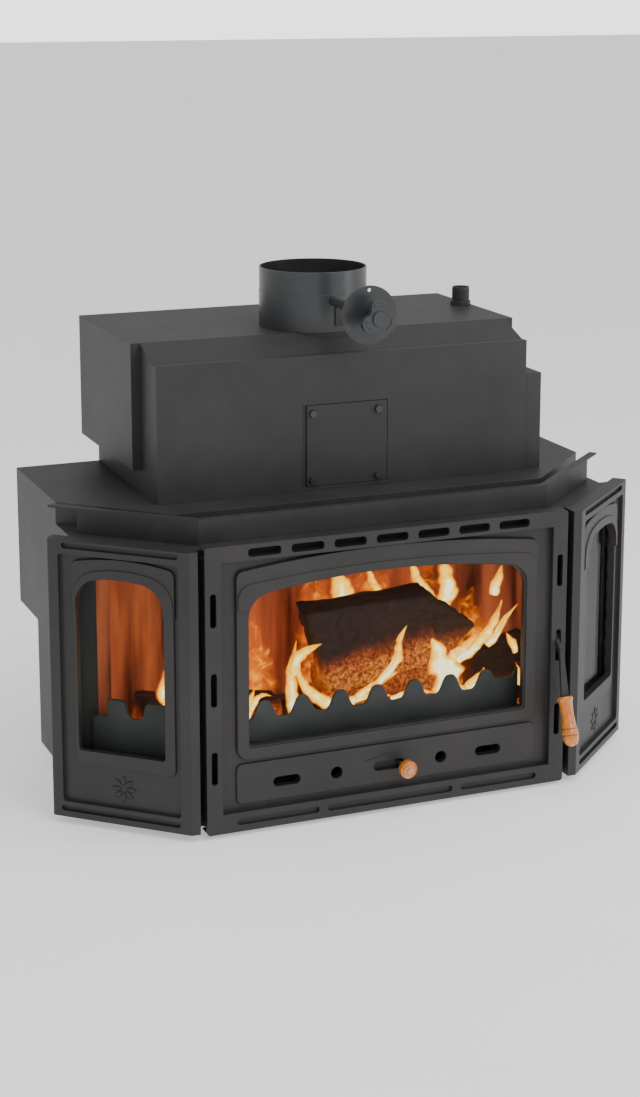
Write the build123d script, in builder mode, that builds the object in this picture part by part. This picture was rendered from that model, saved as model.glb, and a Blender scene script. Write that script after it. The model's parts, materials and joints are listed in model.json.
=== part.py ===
import os
from math import cos, radians, sin, tan

from build123d import *

# Boiler fireplace with a cast-iron front, millimetres.
# X runs to the right, Y to the back and Z up. The origin is on the floor under the flue axis.

# Overall layout: depths are measured backwards from the face of the door
face_y = -373.0
side_angle = 42.6
side_length = 268.5
sheet = 4.0

# Heights above the floor
door_bottom = 8.0
panel_bottom = 14.0
frame_bottom = 12.0
fire_floor = 100.0
body_step = 289.0
body_bottom = 50.0
ledge_top = 510.0
body_top = 550.0
upper_bottom = 593.0
casing_top = 797.0
upper_top = 824.0
collar_top = 934.0

# Cast-iron door
door_width = 690.0
door_height = 514.0
door_depth = 28.0
door_corner = 6.0
door_wall = 6.0
frame_skin = 7.0
column_width = 29.0
field_half = door_width / 2 - column_width
field_bottom = 43.0
field_top = 493.0
field_depth = 12.0
field_skin = 8.0
glass_half = field_half - 52.0
glass_bottom = 158.0
glass_side_top = 424.0
glass_crest = 448.0
glass_corner = 44.0
moulding_width = 25.0
moulding_raise = 7.0
hood_foot = 401.0
hood_side_top = 474.0
hood_crest = 494.0
hood_corner = 15.0
hood_raise = 1.5
arch_side_top = 450.0
arch_crest = 467.0
arch_corner = 30.0
arch_raise = 3.5
lower_field_bottom = 53.0
lower_field_top = 128.0
lower_field_raise = 4.0
air_row = 86.0
oval_x = 195.0
oval_length = 51.0
oval_height = 18.0
hole_x = 101.0
hole_radius = 11.0
knob_slot_length = 60.0
top_slot_count = 7
top_slot_pitch = 79.0
top_slot_length = 60.0
top_slot_height = 15.0
top_slot_row = 506.5
side_slot_x = door_width / 2 - column_width / 2
side_slot_rows = (129.0, 270.0, 411.0)
side_slot_length = 60.0
side_slot_width = 11.0
land_outer = field_half - door_wall
land_width = 12.0

# Door glass, seals and clips
glass_lap = 12.0
glass_thickness = 4.0
gasket_thickness = 2.0
seal_size = 9.6
clip_size = 22.0
clip_thickness = 2.5
screw_radius = 2.5
screw_head = 4.5

# Door hinge: short upright pins in lugs of the frame
hinge_x = -side_slot_x
hinge_depth = 15.5
lug_radius = 8.0
lug_height = 10.0
pin_radius = 4.0
running_fit = 0.06
hinge_gap = 0.3

# Door handle
handle_pivot_depth = 15.5
handle_pivot_z = 286.0
handle_thickness = 7.0
handle_hub = 8.0
grip_lean = 20.8
latch_clearance = 1.5

# Air slide
shutter_thickness = 2.5
shutter_travel_left = 44.0
stem_x = 22.0
stem_radius = 4.0
knob_radius = 16.0

# Side panels of cast iron
panel_height = 503.0
panel_depth = 28.0
panel_strip = 16.0
panel_gap = 12.0
side_corner_x = door_width / 2 + panel_gap + panel_strip
panel_rim = 6.0
panel_field_depth = 8.0
panel_skin = 8.0
panel_window = (50.0, 215.0)
panel_window_bottom = 140.0
panel_window_top = 456.0
panel_window_corner = 46.0
side_hood_foot = 397.0
side_arch = (455.0, 474.0, 55.0)

# Steel body
frame_depth = 38.0
frame_sheet = 6.0
bay_overlap = 149.0
body_half = side_corner_x + bay_overlap
lower_back = 445.0
body_back = 577.0
body_sheet = 5.0
upper_front = 131.0
upper_shoulder = 295.0
upper_front_half = body_half - (upper_shoulder - upper_front)
jacket_gap = 35.0
fire_half = glass_half + 22.0
fire_opening_top = 470.0
ash_opening_half = 215.0
ash_opening = (40.0, 94.0)

# Upper box, casing and band
casing_half = 361.0
casing_step = 17.0
upper_half = casing_half + casing_step
upper_box_front = 297.0
upper_box_back = 633.0
casing_front = 204.0
hood_front = 225.0
band_depth = 62.0
band_half = side_corner_x - 39.0
band_length = 231.0
band_height = 45.0
band_sheet = 3.0
lip_width = 15.0
lip_length = 288.0

# Flue and damper
flue_radius = 100.0
flue_wall = 3.0
rod_radius = 5.0
rod_z = 881.0
damper_clearance = 1.5
damper_thickness = 3.0
bush_radius = 8.0
escutcheon_depth = 107.0
escutcheon_radius = 52.0
knob_depth = 62.0

# Lining
brick_thickness = 28.0
brick_joint = 1.0
fence_thickness = 6.0
fence_crest = 218.0
fence_valley = 186.0
fence_pitch = 72.0
fence_valley_radius = 18.0

os.makedirs("parts", exist_ok=True)


def at(x, depth):
    """Plan point: x, and a depth behind the face of the door."""
    return (x, face_y + depth)


def front_plane(depth=0.0):
    """Upright plane that faces the room: local x is X and local y is Z."""
    return Plane(origin=(0, face_y + depth, 0), x_dir=(1, 0, 0), z_dir=(0, -1, 0))


def side_plane(depth=0.0):
    """Upright plane of the right side panel: local x runs back along the panel, local y is Z."""
    across = radians(side_angle)
    origin = (side_corner_x - depth * sin(across), face_y + depth * cos(across), 0)
    return Plane(origin=origin, x_dir=(cos(across), sin(across), 0), z_dir=(sin(across), -cos(across), 0))


def side_point(along, inward, corner_x=side_corner_x, corner_depth=0.0):
    """Plan point at a distance along a line parallel to the right side panel, and inward of it."""
    across = radians(side_angle)
    x = corner_x + along * cos(across) - inward * sin(across)
    return at(x, corner_depth + along * sin(across) + inward * cos(across))


def level(z):
    return Plane.XY.offset(z)


def span(x0, x1, y0, y1, mode=Mode.ADD):
    """Rectangle between two corners of the active sketch."""
    with Locations(((x0 + x1) / 2, (y0 + y1) / 2)):
        Rectangle(x1 - x0, y1 - y0, mode=mode)


def soft_span(x0, x1, y0, y1, corner, mode=Mode.ADD):
    """Rectangle with round corners between two corners of the active sketch."""
    with Locations(((x0 + x1) / 2, (y0 + y1) / 2)):
        RectangleRounded(x1 - x0, y1 - y0, corner, mode=mode)


def polygon(points, mode=Mode.ADD):
    Polygon(*points, align=None, mode=mode)


def arched(half, bottom, side_top, crest, top_corner, bottom_corner, centre=0.0, mode=Mode.ADD):
    """Window outline: upright sides, a shallow arch on top and rounded corners."""
    with BuildSketch(Plane.XY, mode=Mode.PRIVATE) as outline:
        with BuildLine():
            Polyline((-half, side_top), (-half, bottom), (half, bottom), (half, side_top))
            ThreePointArc((half, side_top), (0, crest), (-half, side_top))
        make_face()
        corners = outline.vertices().sort_by(Axis.Y)
        fillet(corners[:2], bottom_corner)
        fillet(outline.vertices().group_by(Axis.Y)[-1], top_corner)
    with Locations((centre, 0)):
        add(outline.sketch, mode=mode)


def mirrored(points):
    """Plan points of the right side followed by their mirror images on the left."""
    return points + [(-x, y) for x, y in reversed(points)]


def save(part, name):
    part.label = name
    export_step(part, f"parts/{name}.step")


def save_pair(right, name):
    """Write a right-hand piece and its mirror image."""
    save(right, name + "_right")
    save(mirror(right, about=Plane.YZ), name + "_left")


# Door casting

door_top = door_bottom + door_height
column_half = door_width / 2 - door_wall
column_inner = field_half + door_wall
field_back = field_depth + field_skin

with BuildPart() as door_casting:
    with BuildSketch(front_plane()):
        soft_span(-door_width / 2, door_width / 2, door_bottom, door_top, door_corner)
    extrude(amount=-door_depth)
    # Open back behind the field, and deeper hollows down both columns
    with BuildSketch(front_plane(field_back)):
        span(-column_half, column_half, door_bottom + door_wall, door_top - door_wall)
    extrude(amount=-(door_depth - field_back), mode=Mode.SUBTRACT)
    with BuildSketch(front_plane(frame_skin)):
        span(column_inner, column_half, door_bottom + door_wall, door_top - door_wall)
        span(-column_half, -column_inner, door_bottom + door_wall, door_top - door_wall)
    extrude(amount=-(field_back - frame_skin), mode=Mode.SUBTRACT)
    # Sunken field with the window moulding, its hood and the lower panel standing on it
    with BuildSketch(front_plane()):
        span(-field_half, field_half, field_bottom, field_top)
    extrude(amount=-field_depth, mode=Mode.SUBTRACT)
    moulding_half = glass_half + moulding_width
    with BuildSketch(front_plane(field_depth)):
        soft_span(-moulding_half, moulding_half, glass_bottom - moulding_width, arch_side_top, moulding_width)
    extrude(amount=moulding_raise, taper=20)
    # Hood: a plateau up to the crest, and the arch that follows the window on it
    with BuildSketch(front_plane(field_depth)):
        arched(moulding_half, hood_foot, hood_side_top, hood_crest, hood_corner, 1)
    extrude(amount=moulding_raise + hood_raise, taper=15)
    with BuildSketch(front_plane(field_depth)):
        arched(moulding_half - hood_raise, hood_foot, arch_side_top, arch_crest, arch_corner, 1)
    extrude(amount=moulding_raise + arch_raise, taper=15)
    with BuildSketch(front_plane(field_depth)):
        soft_span(-moulding_half, moulding_half, lower_field_bottom, lower_field_top, moulding_width / 2)
    extrude(amount=lower_field_raise, taper=20)
    # Land for the seal rope on the back
    with BuildSketch(front_plane(field_back)):
        land_low = door_bottom + 2 * door_wall
        land_high = field_top - door_wall / 2
        span(-land_outer, land_outer, land_low, land_high)
        land_inner = land_outer - land_width
        span(-land_inner, land_inner, land_low + land_width, land_high - land_width, mode=Mode.SUBTRACT)
    extrude(amount=-(door_depth - field_back))
    # Window
    with BuildSketch(front_plane(0)):
        arched(glass_half, glass_bottom, glass_side_top, glass_crest, glass_corner, door_corner)
    extrude(amount=-door_depth, mode=Mode.SUBTRACT)
    # Step around the window opening
    with BuildSketch(front_plane(0)):
        arched(glass_half + 3, glass_bottom - 3, glass_side_top + 3, glass_crest + 3, glass_corner, door_corner)
    extrude(amount=-(field_depth - moulding_raise + 3), mode=Mode.SUBTRACT)
    # Air slots along the top, down both columns and across the lower panel
    with BuildSketch(front_plane(0)):
        with Locations((0, top_slot_row)):
            with GridLocations(top_slot_pitch, 1, top_slot_count, 1):
                RectangleRounded(top_slot_length, top_slot_height, door_wall)
        for row in side_slot_rows:
            with Locations((-side_slot_x, row), (side_slot_x, row)):
                SlotOverall(side_slot_length, side_slot_width, rotation=90)
        with Locations((-oval_x, air_row), (oval_x, air_row)):
            SlotOverall(oval_length, oval_height)
        with Locations((-hole_x, air_row), (hole_x, air_row)):
            Circle(hole_radius)
        with Locations((0, air_row)):
            SlotOverall(knob_slot_length, oval_height)
    extrude(amount=-field_back, mode=Mode.SUBTRACT)
    # Long shallow grooves along the bottom edge
    groove_row = door_bottom + 18.0
    groove_height = 12.0
    groove_end = field_half - 26.0
    groove_middle = 121.0
    groove_gap = 16.0
    outer_groove = (groove_middle + groove_gap, groove_end)
    with BuildSketch(front_plane(0)):
        for groove_low, groove_high in (outer_groove, (-groove_middle, groove_middle),
                                        (-outer_groove[1], -outer_groove[0])):
            with Locations(((groove_low + groove_high) / 2, groove_row)):
                SlotOverall(groove_high - groove_low, groove_height)
    extrude(amount=-door_wall, mode=Mode.SUBTRACT)
    # Notches that let the hinge lugs reach the pins
    with BuildSketch(front_plane(frame_skin)):
        notch_height = lug_height + 2 * lug_radius / 4
        span(-door_width / 2 - 1, -column_half + 1, door_top - door_wall - notch_height, door_top - door_wall)
        span(-door_width / 2 - 1, -column_half + 1, door_bottom + door_wall,
             door_bottom + door_wall + notch_height)
    extrude(amount=-door_depth, mode=Mode.SUBTRACT)
    with BuildSketch(level(door_bottom + 1)):
        with Locations(at(hinge_x, hinge_depth)):
            Circle(pin_radius + running_fit)
    extrude(amount=door_height - 2, mode=Mode.SUBTRACT)
    # Bore of the handle pivot, from the field wall into the rim
    with BuildSketch(Plane.YZ.offset(field_half)):
        with Locations((face_y + handle_pivot_depth, handle_pivot_z)):
            Circle(pin_radius)
    extrude(amount=door_width / 2 - field_half - 1, mode=Mode.SUBTRACT)
save(door_casting.part, "door_casting")

# Door glass with its gasket, clips and screws

pane_half = glass_half + glass_lap
pane_bottom = glass_bottom - glass_lap
pane_top = glass_crest + glass_lap
gasket_depth = field_back
pane_depth = gasket_depth + gasket_thickness
clip_depth = pane_depth + glass_thickness

with BuildPart() as door_glass:
    with BuildSketch(front_plane(pane_depth)):
        span(-pane_half, pane_half, pane_bottom, pane_top)
    extrude(amount=-glass_thickness)
save(door_glass.part, "door_glass")

with BuildPart() as door_glass_gasket:
    with BuildSketch(front_plane(gasket_depth)):
        span(-pane_half, pane_half, pane_bottom, pane_top)
        arched(glass_half + 1, glass_bottom - 1, glass_side_top + 1, glass_crest + 1, glass_corner,
               door_corner, mode=Mode.SUBTRACT)
    extrude(amount=-gasket_thickness)
save(door_glass_gasket.part, "door_glass_gasket")

clip_x = pane_half
clip_rows = (pane_bottom + clip_size, (pane_bottom + pane_top) / 2, pane_top - clip_size)
clip_reach = 8.0
with BuildPart() as door_glass_clips:
    for row in clip_rows:
        for side in (-1, 1):
            with BuildSketch(front_plane(clip_depth)):
                with Locations((side * clip_x, row)):
                    Rectangle(2 * clip_reach, clip_size)
            extrude(amount=-clip_thickness)
            # Foot that stands on the casting beside the glass
            with BuildSketch(front_plane(field_back)):
                with Locations((side * (clip_x + clip_reach - 3), row)):
                    Rectangle(6, clip_size)
            extrude(amount=-(clip_depth - field_back))
save(door_glass_clips.part, "door_glass_clips")

with BuildPart() as clip_screws:
    for row in clip_rows:
        for side in (-1, 1):
            with BuildSketch(front_plane(clip_depth + clip_thickness)):
                with Locations((side * (clip_x + clip_reach - 4), row)):
                    RegularPolygon(screw_head, 6)
            extrude(amount=-3)
save(clip_screws.part, "clip_screws")

with BuildPart() as door_seal:
    with BuildSketch(front_plane(door_depth)):
        seal_middle = land_outer - land_width / 2
        seal_low = land_low + land_width / 2
        seal_high = land_high - land_width / 2
        span(-seal_middle - seal_size / 2, seal_middle + seal_size / 2,
             seal_low - seal_size / 2, seal_high + seal_size / 2)
        span(-seal_middle + seal_size / 2, seal_middle - seal_size / 2,
             seal_low + seal_size / 2, seal_high - seal_size / 2, mode=Mode.SUBTRACT)
    extrude(amount=-(frame_depth - door_depth - hinge_gap))
    chamfer(door_seal.faces().sort_by(Axis.Y)[-1].edges(), seal_size / 4)
save(door_seal.part, "door_seal")

# Hinge lugs on the frame and the pins that carry the door

upper_lug_top = door_top - door_wall - hinge_gap
lower_lug_bottom = door_bottom + door_wall + 2.0
lug_arm = (hinge_x - pin_radius + 0.5, hinge_x + lug_radius)

with BuildPart() as hinge_lugs:
    for lug_bottom in (lower_lug_bottom, upper_lug_top - lug_height):
        with BuildSketch(level(lug_bottom)):
            with Locations(at(hinge_x, hinge_depth)):
                Circle(lug_radius)
            span(lug_arm[0], lug_arm[1], face_y + hinge_depth, face_y + frame_depth)
            with Locations(at(hinge_x, hinge_depth)):
                Circle(pin_radius, mode=Mode.SUBTRACT)
        extrude(amount=lug_height)
save(hinge_lugs.part, "hinge_lugs")

with BuildPart() as hinge_pins:
    pin_lengths = ((door_bottom + 1.5, lower_lug_bottom + lug_height),
                   (upper_lug_top - lug_height, door_top - 1.5))
    for pin_low, pin_high in pin_lengths:
        with BuildSketch(level(pin_low)):
            with Locations(at(hinge_x, hinge_depth)):
                Circle(pin_radius)
        extrude(amount=pin_high - pin_low)
save(hinge_pins.part, "hinge_pins")

# Door handle: pivot pin in the door, lever with its latch tongue, and the turned wood grip

handle_x = -hinge_x - 1.5
lever_low = handle_x - handle_thickness / 2

with BuildPart() as handle_pin:
    with BuildSketch(Plane.YZ.offset(field_half + 0.5)):
        with Locations((face_y + handle_pivot_depth, handle_pivot_z)):
            Circle(pin_radius)
    extrude(amount=door_width / 2 - field_half - 2)
save(handle_pin.part, "handle_pin")

elbow = (-13.0, 267.0)
grip_top = (-31.5, 182.0)
grip_length = 90.0
tongue_end = 50.0
tongue_top = 292.0
tongue_bottom = 280.0


def lever_plane(point):
    """Plane across the hanging part of the lever, facing down along it."""
    lean = radians(grip_lean)
    return Plane(origin=(handle_x, face_y + point[0], point[1]), x_dir=(1, 0, 0),
                 z_dir=(0, -sin(lean), -cos(lean)))


with BuildPart() as handle_lever:
    with BuildSketch(Plane.YZ.offset(lever_low)):
        with Locations((face_y + handle_pivot_depth, handle_pivot_z)):
            Circle(handle_hub)
        polygon([(face_y + handle_pivot_depth, handle_pivot_z + 3), (face_y + elbow[0] + 2, elbow[1] + 7),
                 (face_y + elbow[0] - 5, elbow[1] - 2), (face_y + elbow[0] + 4, elbow[1] - 4),
                 (face_y + handle_pivot_depth, handle_pivot_z - 7)])
        span(face_y + handle_pivot_depth, face_y + tongue_end, tongue_bottom, tongue_top)
        with Locations((face_y + handle_pivot_depth, handle_pivot_z)):
            Circle(pin_radius + running_fit, mode=Mode.SUBTRACT)
    extrude(amount=handle_thickness)
    # Flat bar that widens from the elbow to the grip
    with BuildSketch(lever_plane(elbow)):
        Rectangle(handle_thickness, 8)
    with BuildSketch(lever_plane(grip_top)):
        Rectangle(15, 5)
    loft()
save(handle_lever.part, "handle_lever")

grip_plane = lever_plane(grip_top)
grip_axis = Axis(grip_plane.origin, grip_plane.z_dir)
profile_plane = Plane(origin=grip_plane.origin, x_dir=(1, 0, 0),
                      z_dir=Vector(1, 0, 0).cross(grip_plane.z_dir))
with BuildPart() as handle_grip:
    with BuildSketch(profile_plane):
        # Flared top, narrow waist, full belly and a round end
        with BuildLine():
            Polyline((0, grip_length), (0, 0), (13, 0), (15, 3), (12.5, 10), (11.5, grip_length * 0.35),
                     (13, grip_length * 0.56), (15, grip_length * 0.72), (14.5, grip_length * 0.86),
                     (10, grip_length * 0.96), (0, grip_length))
        make_face()
    revolve(axis=grip_axis)
save(handle_grip.part, "handle_grip")

# Air slide behind the lower panel, with its rails on the back of the door

shutter_depth = field_back + 0.5
shutter_back = shutter_depth + shutter_thickness
shutter_left = -240.0
shutter_right = 226.0
shutter_half_height = 16.0
rail_gap = 0.3
rail_height = 6.0
rail_lip = 3.0

with BuildPart() as air_shutter:
    with BuildSketch(front_plane(shutter_depth)):
        span(shutter_left, shutter_right, air_row - shutter_half_height, air_row + shutter_half_height)
        with Locations((-oval_x, air_row), (oval_x, air_row)):
            SlotOverall(oval_length, oval_height, mode=Mode.SUBTRACT)
        with Locations((-hole_x, air_row), (hole_x, air_row)):
            Circle(hole_radius, mode=Mode.SUBTRACT)
    extrude(amount=-shutter_thickness)
save(air_shutter.part, "air_shutter")

with BuildPart() as shutter_rails:
    for side in (-1, 1):
        inner = air_row + side * (shutter_half_height + rail_gap)
        outer = inner + side * rail_height
        lip = inner - side * rail_lip
        rail_left = shutter_left - shutter_travel_left
        with BuildSketch(front_plane(field_back)):
            span(rail_left, shutter_right, min(inner, outer), max(inner, outer))
        extrude(amount=-(shutter_back + rail_gap - field_back))
        with BuildSketch(front_plane(shutter_back + rail_gap)):
            span(rail_left, shutter_right, min(lip, outer), max(lip, outer))
        extrude(amount=-2)
save(shutter_rails.part, "shutter_rails")

knob_back = -16.0
knob_length = 18.0
with BuildPart() as air_stem:
    with BuildSketch(front_plane(shutter_depth)):
        with Locations((stem_x, air_row)):
            Circle(stem_radius)
    extrude(amount=shutter_depth - knob_back)
    with BuildSketch(front_plane(knob_back + 2)):
        with Locations((stem_x, air_row)):
            Circle(stem_radius * 2)
    extrude(amount=2)
save(air_stem.part, "air_stem")

with BuildPart() as air_knob:
    with BuildSketch(front_plane(knob_back)):
        with Locations((stem_x, air_row)):
            Circle(knob_radius)
    extrude(amount=knob_length)
    chamfer(air_knob.edges().group_by(Axis.Y)[0], knob_radius / 3)
    chamfer(air_knob.edges().group_by(Axis.Y)[-1], knob_radius / 5)
save(air_knob.part, "air_knob")

with BuildPart() as air_knob_screw:
    with BuildSketch(front_plane(knob_back - knob_length)):
        with Locations((stem_x, air_row)):
            Circle(stem_radius + 1)
    extrude(amount=1.5)
save(air_knob_screw.part, "air_knob_screw")

# Side panels: a cast piece per side with its own glass

panel_top = panel_bottom + panel_height
moulding = (panel_window[0] - 20, panel_window[1] + 7)


def corner_x(depth, inward):
    """Where a line parallel to the side panel crosses a depth."""
    across = radians(side_angle)
    return side_corner_x + (depth - inward * cos(across)) / tan(across) - inward * sin(across)


def arched_side(start, end, bottom, side_top, crest, top_corner, bottom_corner, mode=Mode.ADD):
    arched((end - start) / 2, bottom, side_top, crest, top_corner, bottom_corner, (start + end) / 2, mode)


with BuildPart() as side_panel:
    strip_x = side_corner_x - panel_strip
    with BuildSketch(level(panel_bottom)):
        polygon([at(strip_x, 0), at(side_corner_x, 0), side_point(side_length, 0),
                 side_point(side_length, panel_depth), at(corner_x(frame_depth, panel_depth), frame_depth),
                 at(strip_x, frame_depth)])
    extrude(amount=panel_height)
    fillet(side_panel.edges().filter_by(Axis.Z).group_by(Axis.X)[-1], panel_rim)
    # Sunken field with the window moulding and its hood
    with BuildSketch(side_plane()):
        soft_span(20, 246, field_bottom, field_top, panel_rim)
    extrude(amount=-panel_field_depth, mode=Mode.SUBTRACT)
    with BuildSketch(side_plane(panel_field_depth)):
        soft_span(moulding[0], moulding[1], panel_window_bottom - 26, side_arch[0], panel_rim * 2)
    extrude(amount=panel_field_depth / 2, taper=20)
    with BuildSketch(side_plane(panel_field_depth)):
        arched_side(moulding[0] - 2, moulding[1] + 2, side_hood_foot, hood_crest - 13, hood_crest - 2, hood_corner, 1)
    extrude(amount=panel_field_depth * 0.65, taper=15)
    with BuildSketch(side_plane(panel_field_depth)):
        arched_side(moulding[0] - 1, moulding[1] + 1, side_hood_foot, side_arch[0], side_arch[1], side_arch[2], 1)
    extrude(amount=panel_field_depth * 0.9, taper=15)
    # Hollow back
    with BuildSketch(side_plane(panel_field_depth + panel_skin)):
        span(12, side_length - 12, panel_bottom + 12, panel_top - 12)
    extrude(amount=-(panel_depth - panel_field_depth - panel_skin), mode=Mode.SUBTRACT)
    with BuildSketch(side_plane()):
        arched_side(panel_window[0], panel_window[1], panel_window_bottom, panel_window_top - 14,
                    panel_window_top, panel_window_corner, panel_rim)
    extrude(amount=-panel_depth, mode=Mode.SUBTRACT)
    # Long groove above the field and another below it
    with BuildSketch(side_plane()):
        with Locations(((20 + 239) / 2, 508)):
            SlotOverall(219, 10)
        with Locations(((21 + 250) / 2, 30)):
            SlotOverall(229, 10)
    extrude(amount=-panel_rim, mode=Mode.SUBTRACT)
save_pair(side_panel.part, "side_panel")

side_glass_span = (panel_window[0] - 9, panel_window[1] + 9)
side_glass_rows = (panel_window_bottom - 9, panel_window_top + 8)
side_gasket_depth = panel_field_depth + panel_skin
side_glass_depth = side_gasket_depth + gasket_thickness
side_clip_depth = side_glass_depth + glass_thickness

with BuildPart() as side_glass:
    with BuildSketch(side_plane(side_glass_depth)):
        span(*side_glass_span, *side_glass_rows)
    extrude(amount=-glass_thickness)
save_pair(side_glass.part, "side_glass")

with BuildPart() as side_gasket:
    with BuildSketch(side_plane(side_gasket_depth)):
        span(*side_glass_span, *side_glass_rows)
        arched_side(panel_window[0] - 1, panel_window[1] + 1, panel_window_bottom - 1,
                    panel_window_top - 13, panel_window_top + 1, panel_window_corner, panel_rim,
                    mode=Mode.SUBTRACT)
    extrude(amount=-gasket_thickness)
save_pair(side_gasket.part, "side_gasket")

with BuildPart() as side_glass_clips:
    for along in side_glass_span:
        for row in (side_glass_rows[0] + 60, side_glass_rows[1] - 60):
            outward = 1 if along > panel_window[0] + 50 else -1
            with BuildSketch(side_plane(side_clip_depth)):
                with Locations((along + outward * 2, row)):
                    Rectangle(14, clip_size)
            extrude(amount=-clip_thickness)
            with BuildSketch(side_plane(side_gasket_depth)):
                with Locations((along + outward * 5.5, row)):
                    Rectangle(7, clip_size)
            extrude(amount=-(side_clip_depth - side_gasket_depth))
save_pair(side_glass_clips.part, "side_glass_clips")

# Front frame: bay-shaped sheet wall with the fire openings, its floor and its ledge

body_front = side_length * sin(radians(side_angle)) + panel_depth * cos(radians(side_angle))
return_inner = body_half - frame_sheet


def bay(front, inward, back):
    """Plan of the bay between two depths, with its sides parallel to the side panels."""
    return mirrored([at(corner_x(back, inward), back), at(corner_x(front, inward), front)])


inner_bay = bay(frame_depth + frame_sheet, panel_depth + frame_sheet, body_front - frame_sheet)


with BuildPart(mode=Mode.PRIVATE) as side_opening:
    with BuildSketch(side_plane(panel_depth)):
        span(side_glass_span[0] - 1, side_glass_span[1] + 1, side_glass_rows[0], side_glass_rows[1])
    extrude(amount=-frame_sheet)

with BuildPart() as front_frame:
    with BuildSketch(level(frame_bottom)):
        polygon(bay(frame_depth, panel_depth, body_front))
    extrude(amount=ledge_top - frame_bottom)
    with BuildSketch(level(frame_bottom + frame_sheet)):
        polygon(inner_bay)
        span(-return_inner, return_inner, face_y + body_front - frame_sheet, face_y + body_front)
    extrude(amount=ledge_top - frame_bottom - 2 * frame_sheet, mode=Mode.SUBTRACT)
    with BuildSketch(front_plane(frame_depth)):
        soft_span(-fire_half, fire_half, fire_floor + frame_sheet, fire_opening_top, frame_sheet)
        soft_span(-ash_opening_half, ash_opening_half, ash_opening[0], ash_opening[1], frame_sheet)
        span(handle_x - handle_hub, handle_x + handle_hub, handle_pivot_z - 40, tongue_top + latch_clearance)
    extrude(amount=-frame_sheet, mode=Mode.SUBTRACT)
    add(side_opening.part, mode=Mode.SUBTRACT)
    add(mirror(side_opening.part, about=Plane.YZ), mode=Mode.SUBTRACT)
save(front_frame.part, "front_frame")

with BuildPart() as latch_keeper:
    with BuildSketch(front_plane(frame_depth + frame_sheet)):
        keeper_bottom = tongue_top + latch_clearance
        span(handle_x - handle_hub, handle_x + handle_hub, keeper_bottom, keeper_bottom + 20)
    extrude(amount=-12)
save(latch_keeper.part, "latch_keeper")

# Base, stepped outer shell, firebox skin and top of the steel body

base_half = 330.0
base_front = 60.0
base_back = 400.0
with BuildPart() as base_frame:
    with BuildSketch(level(0)):
        span(-base_half, base_half, face_y + base_front, face_y + base_back)
    extrude(amount=frame_bottom)
    with BuildSketch(level(0)):
        span(-base_half, base_half, face_y + body_front, face_y + base_back)
    extrude(amount=body_bottom)
    with BuildSketch(level(sheet)):
        span(-base_half + sheet, base_half - sheet, face_y + base_front + sheet, face_y + base_back - sheet)
    extrude(amount=body_bottom, mode=Mode.SUBTRACT)
save(base_frame.part, "base_frame")

shoulder = mirrored([at(body_half, body_back), at(body_half, upper_shoulder), at(upper_front_half, upper_front)])
jacket_half = body_half - body_sheet - jacket_gap
jacket_back = lower_back - body_sheet - jacket_gap
floor_top = fire_floor + frame_sheet
slab_bottom = ledge_top - body_sheet


def shell_walls(back):
    """Side and back walls in plan, open at the front."""
    span(-body_half, body_half, face_y + body_front, face_y + back)
    span(-body_half + body_sheet, body_half - body_sheet, face_y + body_front, face_y + back - body_sheet,
         mode=Mode.SUBTRACT)


with BuildPart() as outer_shell:
    with BuildSketch(level(body_bottom)):
        span(-body_half, body_half, face_y + body_front, face_y + lower_back)
    extrude(amount=body_sheet)
    with BuildSketch(level(body_bottom)):
        shell_walls(lower_back)
    extrude(amount=body_step + body_sheet - body_bottom)
    with BuildSketch(level(body_step)):
        span(-body_half, body_half, face_y + lower_back - body_sheet, face_y + body_back)
    extrude(amount=body_sheet)
    with BuildSketch(level(body_step)):
        shell_walls(body_back)
    extrude(amount=ledge_top - body_step)
    # Corner ledges and the shallower top ring with its bevelled front
    with BuildSketch(level(slab_bottom)):
        for side in (-1, 1):
            corner = sorted((side * jacket_half, side * body_half))
            span(corner[0], corner[1], face_y + body_front, face_y + upper_shoulder)
    extrude(amount=body_sheet)
    with BuildSketch(level(ledge_top)) as ring:
        polygon(shoulder)
        offset(ring.sketch, amount=-body_sheet, kind=Kind.INTERSECTION, mode=Mode.SUBTRACT)
    extrude(amount=body_top - body_sheet - ledge_top)
save(outer_shell.part, "outer_shell")

duct_half = 250.0
duct_front = 305.0
duct_back = 396.0
with BuildPart() as firebox_jacket:
    with BuildSketch(level(body_bottom + body_sheet)):
        span(-jacket_half, jacket_half, face_y + body_front, face_y + jacket_back)
    extrude(amount=ledge_top - body_bottom - body_sheet)
    with BuildSketch(level(body_bottom + body_sheet)):
        for side in (-1, 1):
            flange = sorted((side * jacket_half, side * (body_half - body_sheet)))
            span(flange[0], flange[1], face_y + body_front, face_y + body_front + body_sheet)
    extrude(amount=slab_bottom - body_bottom - body_sheet)
    with BuildSketch(level(body_bottom + body_sheet)):
        jacket_inner = jacket_half - body_sheet
        span(-jacket_inner, jacket_inner, face_y + body_front, face_y + jacket_back - body_sheet)
    extrude(amount=slab_bottom - body_bottom - body_sheet, mode=Mode.SUBTRACT)
    # Smoke duct through the water slab
    with BuildSketch(level(slab_bottom)):
        span(-duct_half, duct_half, face_y + duct_front, face_y + duct_back)
    extrude(amount=body_top - slab_bottom)
    with BuildSketch(level(slab_bottom)):
        span(-duct_half + body_sheet, duct_half - body_sheet, face_y + duct_front + body_sheet,
             face_y + duct_back - body_sheet)
    extrude(amount=body_top - slab_bottom, mode=Mode.SUBTRACT)
save(firebox_jacket.part, "firebox_jacket")

with BuildPart() as top_plate:
    with BuildSketch(level(body_top - body_sheet)):
        polygon(shoulder)
        span(-duct_half, duct_half, face_y + duct_front, face_y + duct_back, mode=Mode.SUBTRACT)
    extrude(amount=body_sheet)
save(top_plate.part, "top_plate")

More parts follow.
